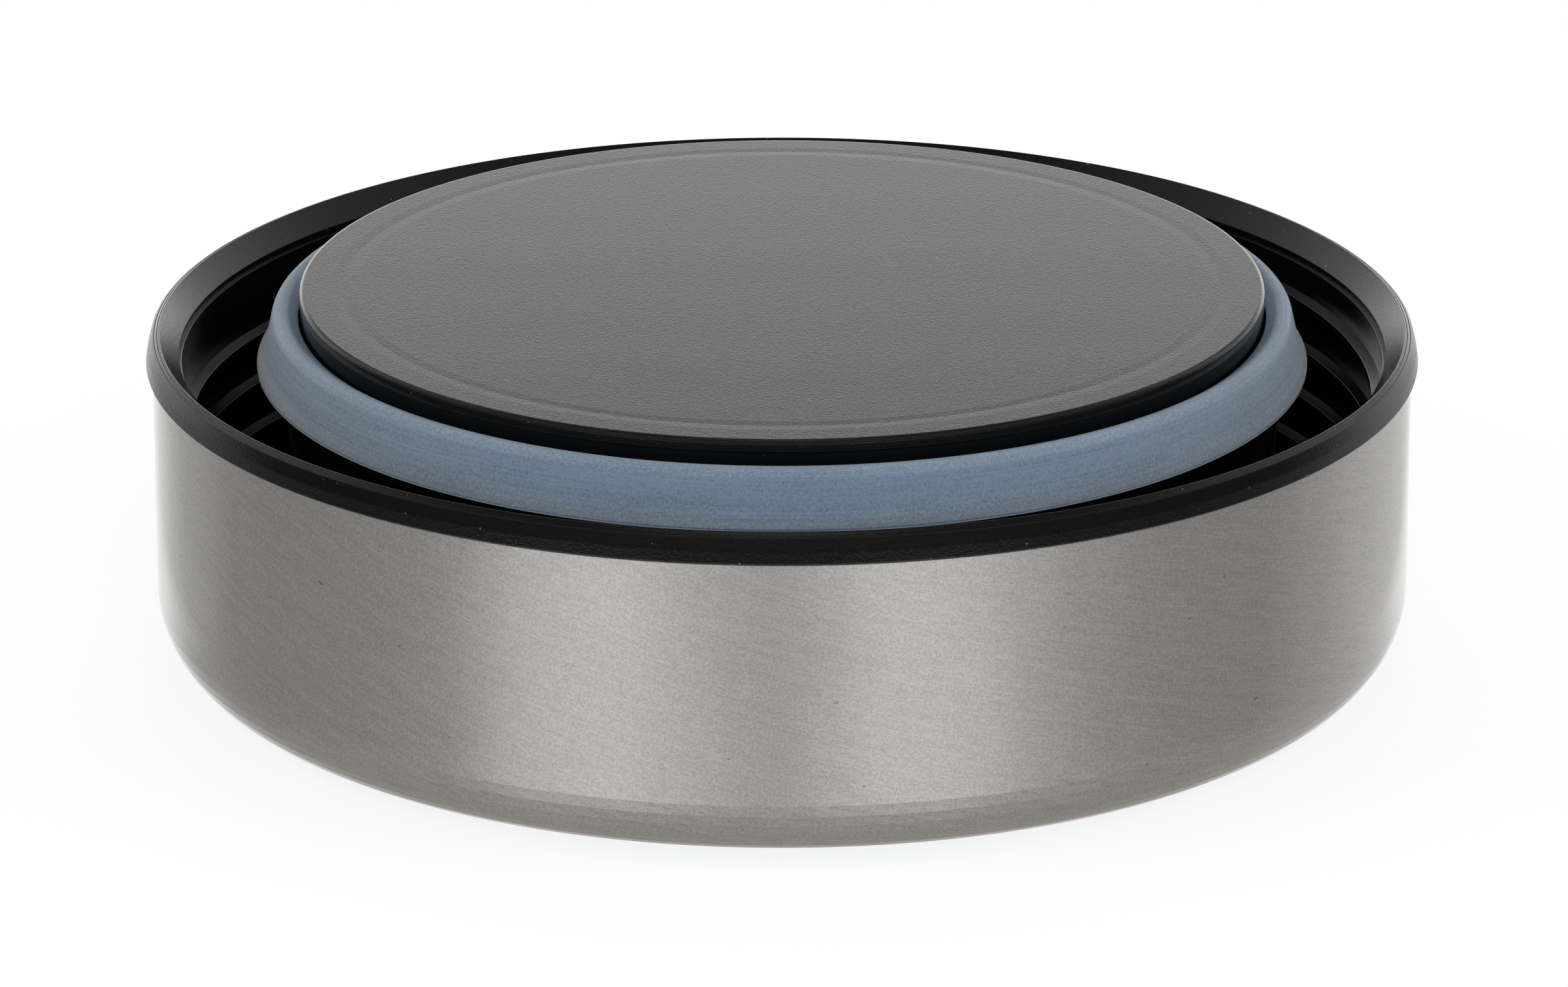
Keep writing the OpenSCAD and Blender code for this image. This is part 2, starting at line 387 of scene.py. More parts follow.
# The slightly warm sheen of black plastic, and the colours of dust on it
WARM_SHEEN = (1, 0.985, 0.96, 1)
PALE_DUST = (0.35, 0.34, 0.32)
GREY_DUST = (0.2, 0.2, 0.2)
# Turns the stretch of the steel's reflections a quarter, so that it lies across the brush marks
ACROSS_MARKS = 0.25


class Value:
    """A socket that takes part in expressions, each of which adds its Math node."""

    def __init__(self, nodes, socket):
        self.nodes, self.socket = nodes, socket

    def __add__(self, other):
        return self.nodes.math("ADD", self, other)

    def __sub__(self, other):
        return self.nodes.math("SUBTRACT", self, other)

    def __rsub__(self, other):
        return self.nodes.math("SUBTRACT", other, self)

    def __mul__(self, other):
        return self.nodes.math("MULTIPLY", self, other)

    def __neg__(self):
        return self * -1

    __radd__ = __add__
    __rmul__ = __mul__

    def between(self, low, high):
        """0 below the low value, 1 above the high one, and smooth in between."""
        return self.nodes.node(
            "ShaderNodeMapRange", {"interpolation_type": "SMOOTHSTEP"},
            {"Value": self, "From Min": low, "From Max": high},
        )


class Nodes:
    """The nodes of a material or world."""

    def __init__(self, owner):
        owner.use_nodes = True
        self.owner = owner
        self.tree = owner.node_tree
        self.tree.nodes.clear()

    def node(self, kind, settings=None, inputs=None, output=0):
        """Adds a node, makes its settings, fills or links its sockets, and gives one of its outputs."""
        made = self.tree.nodes.new(kind)
        for name, value in (settings or {}).items():
            if name == "stops":
                self.set_stops(made.color_ramp.elements, value)
            else:
                setattr(made, name, value)
        for name, value in (inputs or {}).items():
            if isinstance(value, Value):
                self.tree.links.new(value.socket, made.inputs[name])
            else:
                made.inputs[name].default_value = value
        return Value(self, made.outputs[output]) if made.outputs else made

    @staticmethod
    def set_stops(elements, stops):
        """Gives a colour ramp its stops, each a place and a tone."""
        elements.remove(elements[1])
        for i, (place, tone) in enumerate(stops):
            element = elements[0] if i == 0 else elements.new(place)
            element.position = place
            element.color = (tone, tone, tone, 1)

    def math(self, operation, *terms):
        """A Math node on values and numbers."""
        return self.node("ShaderNodeMath", {"operation": operation}, dict(enumerate(terms)))

    def coordinates(self):
        """Object coordinates x, y and z in millimetres."""
        place = self.node("ShaderNodeTexCoord", output="Object")
        scaled = self.node("ShaderNodeVectorMath", {"operation": "SCALE"}, {0: place, "Scale": 1 / MM})
        return [self.node("ShaderNodeSeparateXYZ", inputs={0: scaled}, output=k) for k in range(3)]

    def from_axis(self, x, y):
        """The distance from the Z axis."""
        return self.math("POWER", x * x + y * y, 0.5)

    def noise(self, u, v, w=0.0, detail=2.0, rough=0.5):
        """Smooth noise from 0 to 1, mostly near a half, at a place, with cells one unit wide."""
        place = self.node("ShaderNodeCombineXYZ", inputs={0: u, 1: v, 2: w})
        return self.node(
            "ShaderNodeTexNoise", {"noise_dimensions": "3D"},
            {"Vector": place, "Scale": 1.0, "Detail": detail, "Roughness": rough},
        )

    def even_noise(self, place, cells, detail=2.0, rough=0.5):
        """Noise that is alike in all directions, with so many cells in a millimetre."""
        return self.noise(*[part * cells for part in place], detail, rough)

    def mix(self, factor, first, second):
        """A colour between two colours."""
        return self.node(
            "ShaderNodeMix", {"data_type": "RGBA"},
            {0: factor, 6: as_rgba(first), 7: as_rgba(second)}, output=2,
        )

    def mix_shader(self, factor, first, second):
        """A shader between two shaders."""
        return self.node("ShaderNodeMixShader", inputs={0: factor, 1: first, 2: second})

    def ray(self, kind):
        """1 for rays of a kind, and 0 for others."""
        return self.node("ShaderNodeLightPath", output=kind)

    def bump(self, height, distance):
        """A normal bent by a height from 0 to 1 that stands for a distance in metres."""
        return self.node("ShaderNodeBump", inputs={"Height": height, "Distance": distance, "Strength": 1.0})

    def finish(self, **sockets):
        """Ends a material with one Principled shader, whose sockets are named with _ for spaces."""
        inputs = {name.replace("_", " "): value for name, value in sockets.items()}
        inputs["Base Color"] = as_rgba(inputs["Base Color"])
        surface = self.node("ShaderNodeBsdfPrincipled", inputs=inputs)
        self.node("ShaderNodeOutputMaterial", inputs={"Surface": surface})
        return self.owner


def as_rgba(value):
    """A colour with its alpha, or a value as it is."""
    return value if isinstance(value, Value) else (*value, 1)


def tint(base, factor):
    """A colour made lighter or darker by a factor."""
    return tuple(min(1, part * factor) for part in base)


def material_nodes(name):
    """The empty nodes of a new material."""
    return Nodes(bpy.data.materials.new(name))


def brush_marks(nodes, x, y, across, wall_r, side):
    """Brush marks round the shell at a slight slant. Side is 1 or -1, and their seam lies opposite it."""
    along = nodes.math("ARCTAN2", x * side, y * -side) * wall_r
    slanted = across + along * BRUSH_SLANT
    fine = nodes.noise(along * 0.4, slanted * 9, detail=3, rough=0.6)
    broad = nodes.noise(along * 0.12, slanted * 1.7, BROAD_PLACE)
    scratch = nodes.noise(along * 0.25, slanted * 7, SCRATCH_PLACE, detail=1).between(*SCRATCHES)
    return fine * 0.7 + broad * 0.3 + scratch * 0.15


def brushed_steel(settings):
    """Brushed stainless steel: slanting marks round the wall, fine grain, smudges and a few specks."""
    look = settings.finishes
    wall_r = SHELL_TOP.x / MM
    nodes = material_nodes("brushed_steel")
    place = x, y, z = nodes.coordinates()
    across = z + nodes.from_axis(x, y)
    behind = y.between(-BRUSH_SEAM, BRUSH_SEAM)
    front = brush_marks(nodes, x, y, across, wall_r, 1)
    back = brush_marks(nodes, x, y, across, wall_r, -1)
    marks = front * (1 - behind) + back * behind
    grain = nodes.even_noise(place, FINE_GRAIN)
    smudge = nodes.noise(x * 0.07, y * 0.07, z * 0.11, detail=3)
    waviness = nodes.noise(x * 0.11, y * 0.11, z * 0.06, detail=1)
    speck = nodes.noise(x * 0.9, y * 0.9, z * 1.6, detail=1).between(*SPECKS)
    # The last number brings the mean of the sum to a half
    lit = (marks * 1.9 + grain * 2 + smudge * 0.3 - 1.6).between(0, 1)
    steel = nodes.mix(lit, look.steel_dark, look.steel_light)
    return nodes.finish(
        Base_Color=nodes.mix(speck * 0.55, steel, tint(look.steel_dark, 0.3)),
        Metallic=1.0,
        Roughness=look.steel_rough + (marks * 0.1 + smudge * 0.08 - 0.09),
        Anisotropic=look.steel_brush,
        Anisotropic_Rotation=ACROSS_MARKS,
        Coat_Weight=0.8,
        Coat_Roughness=0.05,
        Normal=nodes.bump(marks * 0.02 + waviness, 0.2 * MM),
    )


def ring_plastic(settings):
    """Matte black plastic with an eroded grain, clouds in its sheen and some pale dust."""
    look = settings.finishes
    nodes = material_nodes("ring_plastic")
    place = nodes.coordinates()
    grain = nodes.even_noise(place, MATTE_GRAIN, detail=3, rough=0.65)
    cloud = nodes.even_noise(place, CLOUDS)
    dust = nodes.even_noise(place, FINE_DUST, detail=0).between(*SPARSE_DUST)
    tone = nodes.mix(grain, tint(look.ring, 0.7), tint(look.ring, 1.4))
    return nodes.finish(
        Base_Color=nodes.mix(dust * 0.3, tone, PALE_DUST),
        Roughness=0.12 + grain * 0.1 + cloud * 0.06,
        Specular_Tint=WARM_SHEEN,
        Normal=nodes.bump(grain, 0.02 * MM),
    )


def gloss_plastic(name, base, rough, shine):
    """Moulded gloss plastic with faint flow marks, a fine sparkling grain and dust."""
    nodes = material_nodes(name)
    place = x, y, z = nodes.coordinates()
    flow = nodes.noise(x * 0.3, y * 0.3, z * 0.1, detail=3)
    fine = nodes.even_noise(place, SILK_GRAIN)
    dust = nodes.even_noise(place, COARSE_DUST, detail=1).between(*SPECKS)
    tone = nodes.mix(flow, tint(base, 0.75), tint(base, 1.3))
    return nodes.finish(
        Base_Color=nodes.mix(dust * 0.3, tone, GREY_DUST),
        Roughness=rough + (flow * 0.05 + fine * 0.03 - 0.04) + dust * 0.3,
        Specular_IOR_Level=shine,
        Specular_Tint=WARM_SHEEN,
        Normal=nodes.bump(fine, 0.01 * MM),
    )


def seal_silicone(settings):
    """Milky blue-grey silicone with fine mould lines and a soft grain, greyer low down, with painted
    shading up the cone, a painted shade on the bead's crown and a painted pale highlight at the lip.
    """
    look = settings.finishes
    foot, top = SEAL_LOW.z / MM, SEAL_TOP.z / MM
    nodes = material_nodes("seal_silicone")
    place = x, y, z = nodes.coordinates()
    lines = nodes.noise(x * 0.05, y * 0.05, (z + nodes.from_axis(x, y)) * 9)
    grain = nodes.even_noise(place, FINE_GRAIN)
    cloud = nodes.noise(x * 0.15, y * 0.15, z * 0.3)
    # Painted pale highlight along the lip's edge, low down
    lip_highlight = 1 - z.between(foot + LIP_HIGHLIGHT_LOW, foot + LIP_HIGHLIGHT_HIGH)
    # Greyer low down, and painted shading that gets lighter up the cone
    cone = z.between(foot, foot + LIP_ZONE)
    # Painted shade on the bead's crown
    crown = z.between(top - CROWN_SHADE_ZONE, top)
    # Mould lines, grain and clouds, with painted shading: lighter up the cone than at the lip, and a
    # painted shade a little darker again on the bead's crown
    lit = (lines * 0.8 + grain * 1.6 + cloud * 0.3 + cone * 0.4 - crown * 0.35 - 1.05).between(0, 1)
    low = nodes.mix(lit, tint(look.silicone_low, 0.75), tint(look.silicone_low, 1.25))
    high = nodes.mix(lit, tint(look.silicone, 0.75), tint(look.silicone, 1.25))
    milk = nodes.mix(cone, low, high)
    return nodes.finish(
        # The lip's tone doubled is painted in as a pale highlight on the lip's edge
        Base_Color=nodes.mix(lip_highlight, milk, tint(look.silicone_low, 2)),
        Roughness=0.48 + grain * 0.12,
        Specular_IOR_Level=0.2,
        Normal=nodes.bump(lines * 0.6 + grain * 0.4, 0.016 * MM),
        Subsurface_Weight=0.25,
        Subsurface_Scale=0.5 * MM,
    )


def bead_foam(settings):
    """Moulded foam of small pressed beads."""
    look = settings.finishes
    nodes = material_nodes("bead_foam")
    place = nodes.node("ShaderNodeTexCoord", output="Object")
    scaled = nodes.node("ShaderNodeVectorMath", {"operation": "SCALE"}, {0: place, "Scale": BEADS / MM})
    bead = nodes.node("ShaderNodeTexVoronoi", {"feature": "F1"}, {"Vector": scaled, "Scale": 1.0})
    return nodes.finish(
        Base_Color=nodes.mix(bead.between(0.2, 0.8), look.foam, tint(look.foam, 0.75)),
        Roughness=0.85 + bead * 0.1,
        Normal=nodes.bump(1 - bead, 0.3 * MM),
    )


def cured_glue(settings):
    """Amber hot-melt adhesive with small bubbles."""
    look = settings.finishes
    nodes = material_nodes("cured_glue")
    bubble = nodes.even_noise(nodes.coordinates(), BUBBLES, detail=3)
    return nodes.finish(
        Base_Color=nodes.mix(bubble, tint(look.glue, 0.8), tint(look.glue, 1.15)),
        Roughness=0.3 + bubble * 0.2,
        Normal=nodes.bump(bubble, 0.1 * MM),
    )


# Pieces

def shell_outline(sizes):
    """The drawn steel cup, from its axis under the crown to its axis inside."""
    r, top = SHELL_TOP.x, SHELL_TOP.z
    inner = r - sizes.wall
    return rounded([
        (0, 0, 0), (r, 0, sizes.corner), (r, top, sizes.edge), (inner, top, sizes.edge),
        (inner, sizes.wall, sizes.corner - sizes.wall), (0, sizes.wall, 0),
    ])


def ring_outline(sizes):
    """The rim ring: skirt, swollen band, shoulder with two fine lines, crest and inner slope."""
    foot_r, crest_z = RING_TOP.x, RING_TOP.z
    top_r = foot_r - sizes.band_lean
    crest_r = top_r - sizes.shoulder_w
    slope_r = crest_r - sizes.slope_w
    foot_z = LINER_TOP.z
    band_z = foot_z + sizes.band_h
    rise = crest_z - band_z
    skirt_r = foot_r - sizes.skirt_out
    lines = []
    for part in SHOULDER_LINES:
        r, z = top_r - part * sizes.shoulder_w, band_z + part * rise
        lines += [(r + sizes.line_w, z, 0), (r, z - sizes.line_d, 0), (r - sizes.line_w, z, 0)]
    middle = (foot_r + top_r) / 2 + sizes.band_swell, (foot_z + band_z) / 2
    return rounded([
        (skirt_r, RING_LOW.z, 0), (skirt_r, foot_z, 0), (foot_r, foot_z, sizes.foot_round),
        (*middle, sizes.band_h), (top_r, band_z, sizes.shoulder_round), *lines,
        (crest_r, crest_z, sizes.crest_round),
        (slope_r, crest_z - sizes.slope_fall, sizes.foot_round), (slope_r, foot_z, 0),
        (skirt_r - sizes.skirt_wall, foot_z, 0), (skirt_r - sizes.skirt_wall, RING_LOW.z, 0),
    ])


def liner_outline(sizes):
    """The liner, from its axis under the floor, up its outer wall and down its bore to its axis."""
    r, top, under = LINER_TOP.x, LINER_TOP.z, LINER_LOW.z
    bore = r - sizes.wall
    floor_z = under + sizes.floor
    heel = Vector((r - sizes.heel, under + sizes.heel - sizes.heel_cut))
    heel_r = heel.x + math.sqrt(sizes.heel ** 2 - (heel.y - under) ** 2)
    groove_top = sizes.groove_z + sizes.groove_h
    rebate_z = top - sizes.rebate_h
    return [
        Vector((0, under)), *arc(heel, Vector((heel_r, under)), Vector((r, heel.y))),
        *rounded([
            (r, sizes.groove_z, 0), (r - sizes.groove_w, sizes.groove_z, 0),
            (r - sizes.groove_w, groove_top, 0), (r, groove_top, 0), (r, rebate_z, 0),
            (r - sizes.rebate_w, rebate_z, 0), (r - sizes.rebate_w, top, 0),
            (bore, top, sizes.edge), (bore, floor_z, sizes.fillet),
            (sizes.rib_r, floor_z, 0), (sizes.rib_r, floor_z + sizes.rib_h, sizes.edge),
            (sizes.rib_r - sizes.rib_wall, floor_z + sizes.rib_h, sizes.edge),
            (sizes.rib_r - sizes.rib_wall, floor_z, 0), (0, floor_z, 0),
        ]),
    ]


def housing_outline(sizes):
    """The plug's wall with the ledge that the seal sits on."""
    disc_r = DISC_TOP.x
    foot_r, top_r, ledge_r = disc_r + sizes.step, disc_r - sizes.recess, HOUSING_TOP.x
    ledge_z = SEAL_LOW.z
    under = ledge_z - sizes.ledge_t
    step_z = under - sizes.wall
    return rounded([
        (foot_r - sizes.wall, HOUSING_LOW.z, 0), (foot_r, HOUSING_LOW.z, 0),
        (foot_r, under, sizes.edge), (ledge_r, under, sizes.edge), (ledge_r, ledge_z, sizes.edge),
        (top_r, ledge_z, sizes.edge), (top_r, HOUSING_TOP.z, 0),
        (top_r - sizes.wall, HOUSING_TOP.z, 0), (top_r - sizes.wall, step_z, 0),
        (foot_r - sizes.wall, step_z, 0),
    ])


def disc_outline(sizes):
    """The disc with its weld rib below, its round edge and a faint moulding ripple inside the edge."""
    r, top = DISC_TOP.x, DISC_TOP.z
    under = top - sizes.disc_t
    weld_in = sizes.weld_r - sizes.weld_wall
    sink_r = r - sizes.sink_in
    curve = RIPPLE_CURVE * sizes.sink_w
    return rounded([
        (0, under, 0), (weld_in, under, 0), (weld_in, DISC_LOW.z, sizes.edge),
        (sizes.weld_r, DISC_LOW.z, sizes.edge), (sizes.weld_r, under, 0),
        (r, under, sizes.disc_heel), (r, top, sizes.disc_round),
        (sink_r + sizes.sink_w, top, curve), (sink_r, top - sizes.sink_d, curve),
        (sink_r - sizes.sink_w, top, curve), (0, top, 0),
    ])


def seal_outline(sizes, recess):
    """The seal's section: web, hollow, flared lip, waisted cone, round bead and inner slope."""
    bore = DISC_TOP.x - recess + sizes.gap
    web_r, lip_r = bore + sizes.web, SEAL_TOP.x
    foot, top = SEAL_LOW.z, SEAL_TOP.z
    lip_z = foot + sizes.lip_gap
    bead = Vector((bore + sizes.bead_step + sizes.bead_r, top - sizes.bead_r))
    waist = Vector((lip_r - sizes.waist_in, foot + sizes.waist_rise))
    run = waist - bead
    touching = math.atan2(run.y, run.x) + math.acos(sizes.bead_r / run.length)
    touch = bead + sizes.bead_r * Vector((math.cos(touching), math.sin(touching)))
    crown = Vector((bead.x, top))
    rise = math.sqrt(sizes.bead_r ** 2 - sizes.bead_in ** 2)
    inner = bead + Vector((-sizes.bead_in, rise))
    lower = rounded([
        (bore, top - sizes.shoulder, sizes.edge), (bore, foot, sizes.edge), (web_r, foot, sizes.edge),
        (web_r, top - sizes.hollow, sizes.edge), (lip_r - sizes.lip_t, lip_z, sizes.edge),
        (lip_r, lip_z, sizes.edge), (lip_r, lip_z + sizes.lip_edge, sizes.edge),
        (*waist, sizes.waist_round), (*touch, 0), (*inner, 0),
    ])
    return lower[:-2] + arc(bead, touch, crown) + arc(bead, crown, inner)[1:]


class LID_OT_shell(bpy.types.Operator):
    """Turn the brushed steel shell"""

    bl_idname = "lid.shell"
    bl_label = "Steel Shell"

    def execute(self, context):
        settings = context.scene.lid
        mesh = bmesh.new()
        turn_outline(mesh, shell_outline(settings.shell), closed=False)
        add_piece("shell", mesh, brushed_steel(settings), "shell_steel", "lid", "steel_shell")
        return {"FINISHED"}


class LID_OT_ring(bpy.types.Operator):
    """Turn the black rim ring"""

    bl_idname = "lid.ring"
    bl_label = "Rim Ring"

    def execute(self, context):
        settings = context.scene.lid
        mesh = bmesh.new()
        turn_outline(mesh, ring_outline(settings.ring))
        add_piece("ring", mesh, ring_plastic(settings), "ring_black", "lid", "rim_ring")
        return {"FINISHED"}


class LID_OT_liner(bpy.types.Operator):
    """Turn the liner and wind the screw thread down its wall"""

    bl_idname = "lid.liner"
    bl_label = "Thread Liner"

    def execute(self, context):
        settings = context.scene.lid
        mesh = bmesh.new()
        turn_outline(mesh, liner_outline(settings.liner), closed=False)
        bore = LINER_TOP.x - settings.liner.wall
        sweep_thread(mesh, settings.thread, bore, LINER_TOP.z - settings.thread.drop)
        material = gloss_plastic("liner_plastic", settings.finishes.liner, 0.12, shine=0.28)
        add_piece("liner", mesh, material, "liner_black", "lid", "thread_liner")
        return {"FINISHED"}


class LID_OT_plug(bpy.types.Operator):
    """Turn the plug's housing and the disc that closes it"""

    bl_idname = "lid.plug"
    bl_label = "Plug and Disc"

    def execute(self, context):
        settings = context.scene.lid
        housing = bmesh.new()
        turn_outline(housing, housing_outline(settings.plug))
        plastic = gloss_plastic("plug_plastic", settings.finishes.plug, 0.1, shine=0.12)
        add_piece("housing", housing, plastic, "plug_black", "lid", "plug_housing")
        disc = bmesh.new()
        turn_outline(disc, disc_outline(settings.plug), closed=False)
        polished = gloss_plastic("disc_plastic", settings.finishes.disc, 0.11, shine=0.4)
        add_piece("disc", disc, polished, "disc_black", "lid", "plug_disc")
        return {"FINISHED"}


class LID_OT_seal(bpy.types.Operator):
    """Turn the silicone seal"""

    bl_idname = "lid.seal"
    bl_label = "Silicone Seal"

    def execute(self, context):
        settings = context.scene.lid
        mesh = bmesh.new()
        turn_outline(mesh, seal_outline(settings.seal, settings.plug.recess))
        add_piece("seal_ring", mesh, seal_silicone(settings), "seal_silicone", "seal", "gasket")
        return {"FINISHED"}


class LID_OT_filling(bpy.types.Operator):
    """Finish the hidden foam and adhesive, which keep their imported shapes"""

    bl_idname = "lid.filling"
    bl_label = "Foam and Adhesive"

    def execute(self, context):
        settings = context.scene.lid
        foam, glue = bead_foam(settings), cured_glue(settings)
        for node, material in (("plug_foam", foam), ("crown_pad", foam), ("shell_glue", glue)):
            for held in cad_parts[node].material_slots:
                held.material = material
        return {"FINISHED"}


# Stage

# The photograph's frame, in pixels, and where the aim lies in it
PHOTO_W, PHOTO_H = 2408, 1515
PHOTO_FOCAL = 14176.7
AIM_X, AIM_Y = 1201.0, 499.75
SENSOR_MM = 36
# What the camera sees, from a share of its distance to a multiple of it
CLIP_NEAR, CLIP_FAR = 0.05, 40

# How far from the lid's foot the softboxes stand and how wide they are, in metres
LAMP_DISTANCE = 0.9
LAMP_SIZE = 0.55
WARM_LIGHT = (1, 0.87, 0.74)
COOL_LIGHT = (0.36, 0.72, 1)
WHITE_LIGHT = (1, 1, 1)
# Softboxes: name, degrees from the camera to the right, height in degrees, share of the light, colour
SOFTBOXES = (
    ("softbox_left", -75, 40, 0.38, WARM_LIGHT),
    ("softbox_right", 75, 40, 0.38, WARM_LIGHT),
    ("softbox_front", 5, 28, 0.3, COOL_LIGHT),
    ("softbox_back", 180, 65, 0.25, WHITE_LIGHT),
)

# Half the floor's side, in metres
FLOOR_HALF = 6.0
# The paper's colour, and the distances from the axis, in mm, between which it goes over into the
# white of the background
PAPER = (0.97, 0.97, 0.97, 1)
WHITE = (1, 1, 1, 1)
PAPER_EDGE = (100, 600)
# The white card that polished surfaces see in the floor, in mm: along Y from nothing to white, and
# along X, to both sides, from white to nothing
CARD_FRONT = (-12, 12)
CARD_SIDE = (55, 61)

# Tones that polished surfaces see low round the stage: degrees from the camera to the right, and the tone
STUDIO_TONES = (
    (-180, 1.0), (-166, 1.0), (-144, 0.42), (-120, 0.31), (-90, 0.42), (-66, 0.5), (-48, 1.25),
    (-32, 1.6), (-16, 1.2), (0, 0.74), (16, 1.6), (32, 1.5), (50, 0.78), (66, 0.5), (96, 0.38),
    (112, 0.47), (132, 0.52), (156, 0.62), (170, 0.95), (180, 1.0),
)
# What they see above the horizon: in front low and high, behind to the sides, straight behind low,
# high and at the top, overhead and at the zenith. Then what they see below, on the table.
FRONT_TONE = 0.05
HIGH_FRONT_TONE = 0.33
SIDE_TONE = 0.82
WALL_TONE = 1.75
HIGH_TONE = 0.41
TOP_TONE = 0.28
OVERHEAD_TONE = 0.08
ZENITH_TONE = 0.85
TABLE_TONE = (0.365, 0.345, 0.318)
# Where one tone goes over into the next, as parts of a direction of length 1: sideways along X,
# backwards along Y, upwards along Z for the rest, and downwards for the table
ASIDE = (0.3, 0.6)
BEHIND = (0.2, 0.75)
ABOVE = (-0.22, -0.1)
HIGH_FRONT = (0.16, 0.26)
HIGH_WALL = (0.265, 0.335)
TOP_WALL = (0.345, 0.39)
OVERHEAD = (0.72, 0.88)
ZENITH = (0.975, 0.995)
TABLE = (0.36, 0.8)


class LID_OT_stage(bpy.types.Operator):
    """Set up the camera, the softboxes, the floor and the studio's tones"""

    bl_idname = "lid.stage"
    bl_label = "Stage"

    def execute(self, context):
        settings = context.scene.lid.stage
        add_camera(context.scene, settings)
        add_lamps(settings)
        add_floor(settings)
        context.scene.world = studio_world(settings)
        context.scene.view_settings.view_transform = "Standard"
        return {"FINISHED"}


def add_camera(scene, settings):
    """The camera at the photograph's viewing angle."""
    lens = bpy.data.cameras.new("camera")
    lens.sensor_width = SENSOR_MM
    lens.lens = SENSOR_MM * PHOTO_FOCAL / PHOTO_W
    camera = bpy.data.objects.new("camera", lens)
    scene.collection.objects.link(camera)
    back = Vector((0, -math.cos(settings.elevation), math.sin(settings.elevation)))
    up = Vector((0, math.sin(settings.elevation), math.cos(settings.elevation)))
    right = Vector((1, 0, 0))
    camera.location = Vector((0, 0, settings.aim_z)) + back * settings.distance
    across = (PHOTO_W / 2 - AIM_X) / PHOTO_FOCAL
    down = (PHOTO_H / 2 - AIM_Y) / PHOTO_FOCAL
    look = right * across - up * down - back
    camera.rotation_mode = "QUATERNION"
    camera.rotation_quaternion = look.to_track_quat("-Z", "Y")
    lens.clip_start = settings.distance * CLIP_NEAR
    lens.clip_end = settings.distance * CLIP_FAR
    scene.camera = camera


def add_lamps(settings):
    """Large softboxes, which polished surfaces see as the studio's tones and not as lamps."""
    for name, azimuth, height, part, tone in SOFTBOXES:
        lamp = bpy.data.lights.new(name, "AREA")
        lamp.shape = "DISK"
        lamp.size = LAMP_SIZE
        lamp.color = tone
        turn, rise = math.radians(azimuth), math.radians(height)
        out = math.cos(rise)
        place = Vector((math.sin(turn) * out, -math.cos(turn) * out, math.sin(rise)))
        # The lamp's light on a surface that faces it, and the power that gives it from that far
        level = settings.lamps * part / place.z
        lamp.energy = level * math.pi ** 2 * LAMP_DISTANCE ** 2
        held = bpy.data.objects.new(name, lamp)
        bpy.context.scene.collection.objects.link(held)
        held.location = place * LAMP_DISTANCE
        held.rotation_mode = "QUATERNION"
        held.rotation_quaternion = (-place).to_track_quat("-Z", "Y")
        held.visible_glossy = False


def add_floor(settings):
    """A plain pale floor with the lid's shadow."""
    mesh = bmesh.new()
    corners = [(-1, -1), (1, -1), (1, 1), (-1, 1)]
    mesh.faces.new([mesh.verts.new((x * FLOOR_HALF, y * FLOOR_HALF, 0)) for x, y in corners])
    data = bpy.data.meshes.new("floor")
    mesh.to_mesh(data)
    mesh.free()
    data.materials.append(floor_paper(settings))
    floor = bpy.data.objects.new("floor", data)
    bpy.context.scene.collection.objects.link(floor)


def floor_paper(settings):
    """White paper, in which polished surfaces see a white card and, past it, the studio's tones."""
    nodes = material_nodes("floor_paper")
    x, y, _ = nodes.coordinates()
    card = y.between(*CARD_FRONT) * (1 - nodes.math("ABSOLUTE", x).between(*CARD_SIDE))
    far = nodes.from_axis(x, y).between(*PAPER_EDGE)
    plain = settings.floor_white + far * (1 - settings.floor_white)
    camera = nodes.ray("Is Camera Ray")
    glossy = nodes.ray("Is Glossy Ray")
    matte = nodes.node("ShaderNodeBsdfDiffuse", inputs={"Color": PAPER})
    white = nodes.node("ShaderNodeEmission", inputs={"Color": WHITE})
    past = nodes.node("ShaderNodeBsdfTransparent")
    reflected = nodes.mix_shader(card, past, white)
    seen = nodes.mix_shader(camera * plain, matte, white)
    nodes.node("ShaderNodeOutputMaterial", inputs={"Surface": nodes.mix_shader(glossy, seen, reflected)})
    return nodes.owner


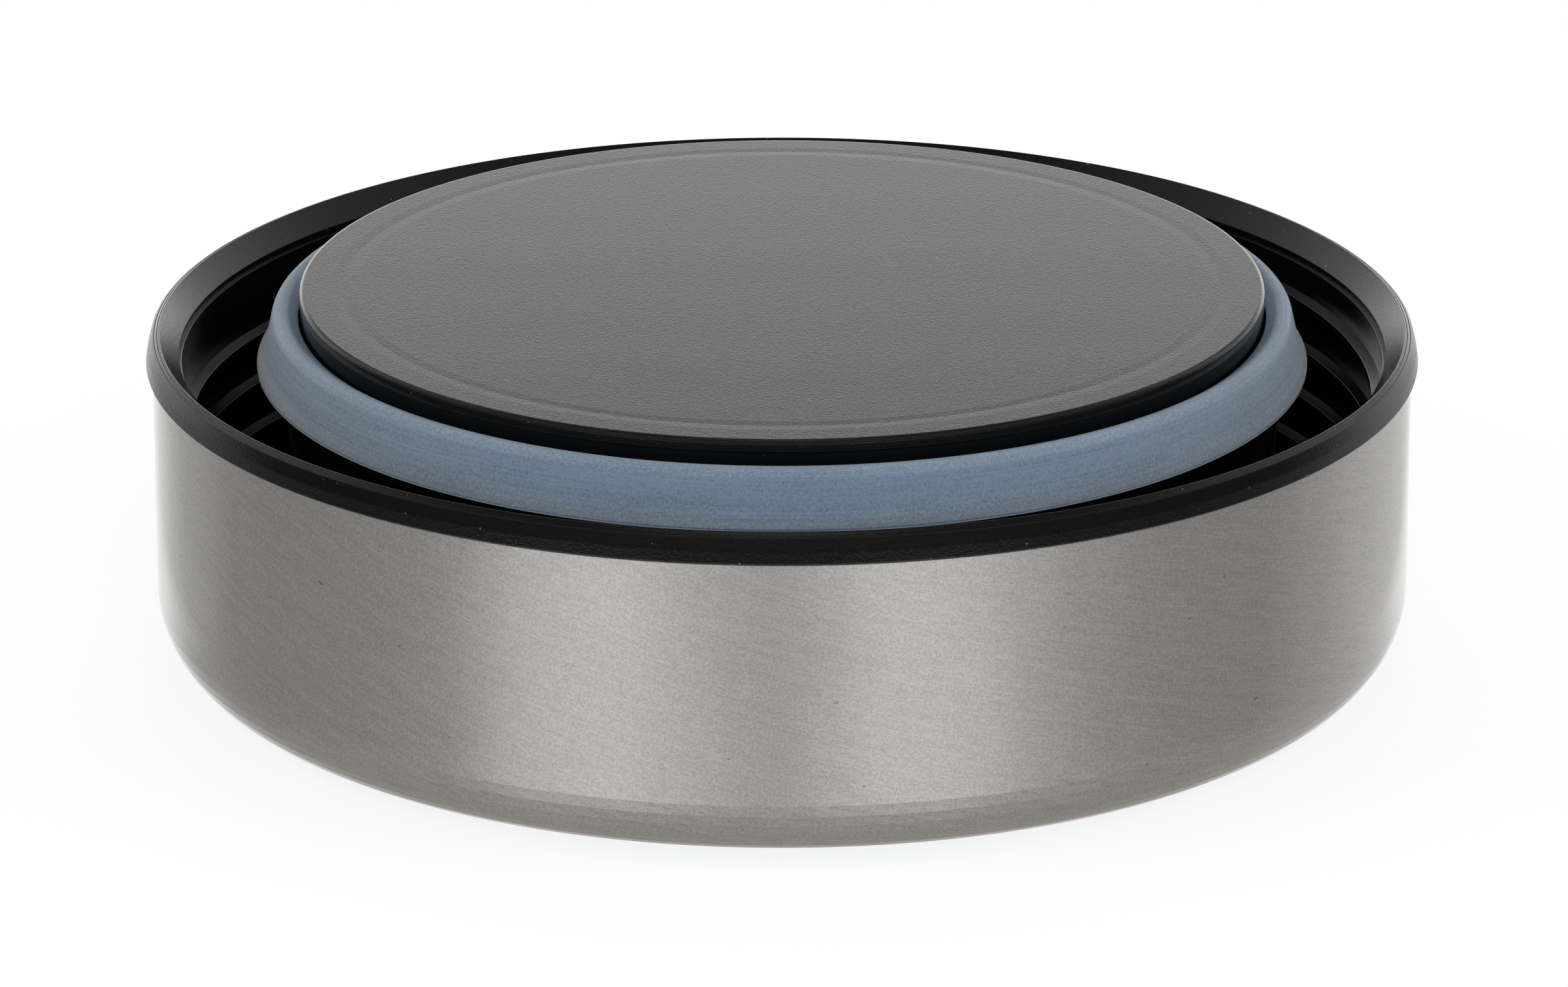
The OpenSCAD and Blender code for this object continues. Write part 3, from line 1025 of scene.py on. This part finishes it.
def studio_world(settings):
    """White to the camera, an even fill on matte surfaces, and softbox tones in polished ones."""
    nodes = Nodes(bpy.data.worlds.new("studio"))
    way = nodes.node("ShaderNodeTexCoord", output="Generated")
    x, y, z = [nodes.node("ShaderNodeSeparateXYZ", inputs={0: way}, output=k) for k in range(3)]
    # Once round the stage is 0 to 1, with the camera at a half
    turn = nodes.math("ARCTAN2", x, -y) * (1 / math.tau) + 0.5
    stops = [(degrees / 360 + 0.5, tone) for degrees, tone in STUDIO_TONES]
    low = nodes.node("ShaderNodeValToRGB", {"stops": stops}, {0: turn})
    aside = nodes.math("ABSOLUTE", x).between(*ASIDE)
    lower = WALL_TONE - z.between(*HIGH_WALL) * (WALL_TONE - HIGH_TONE)
    middle = lower - z.between(*TOP_WALL) * (HIGH_TONE - TOP_TONE)
    wall = middle * (1 - aside) + SIDE_TONE * aside
    behind = y.between(*BEHIND)
    above = z.between(*ABOVE)
    front = FRONT_TONE + z.between(*HIGH_FRONT) * (HIGH_FRONT_TONE - FRONT_TONE)
    overhead = z.between(*OVERHEAD)
    ceiling = OVERHEAD_TONE + z.between(*ZENITH) * (ZENITH_TONE - OVERHEAD_TONE)
    upper = (front * (1 - behind) + wall * behind) * (1 - overhead) + ceiling * overhead
    level = low * (1 - above) + upper * above
    seen = nodes.mix((-z).between(*TABLE), level, TABLE_TONE)
    glossy = nodes.ray("Is Glossy Ray")
    plain = nodes.ray("Is Camera Ray") + nodes.ray("Is Transmission Ray")
    even = plain + (1 - plain - glossy) * settings.fill
    light = nodes.mix(glossy, even, seen)
    sky = nodes.node("ShaderNodeBackground", inputs={"Color": light})
    nodes.node("ShaderNodeOutputWorld", inputs={"Surface": sky})
    return nodes.owner


class LID_PT_panel(bpy.types.Panel):
    """The lid's operators in the 3D view's sidebar"""

    bl_idname = "LID_PT_panel"
    bl_label = "Jar Lid"
    bl_space_type = "VIEW_3D"
    bl_region_type = "UI"
    bl_category = "Jar Lid"

    def draw(self, context):
        for operator in OPERATORS:
            self.layout.operator(operator.bl_idname)


OPERATORS = (
    LID_OT_shell, LID_OT_ring, LID_OT_liner, LID_OT_plug, LID_OT_seal, LID_OT_filling, LID_OT_stage,
)
CLASSES = (
    ShellSizes, RingSizes, LinerSizes, ThreadSizes, PlugSizes, SealSizes, Finishes, StageSettings,
    LidSettings, *OPERATORS, LID_PT_panel,
)


def register():
    for entry in CLASSES:
        bpy.utils.register_class(entry)
    bpy.types.Scene.lid = PointerProperty(type=LidSettings)


def unregister():
    del bpy.types.Scene.lid
    for entry in reversed(CLASSES):
        bpy.utils.unregister_class(entry)


def main():
    """Builds the lid and its stage."""
    register()
    bpy.ops.lid.shell()
    bpy.ops.lid.ring()
    bpy.ops.lid.liner()
    bpy.ops.lid.plug()
    bpy.ops.lid.seal()
    bpy.ops.lid.filling()
    bpy.ops.lid.stage()


if __name__ == "__main__":
    main()
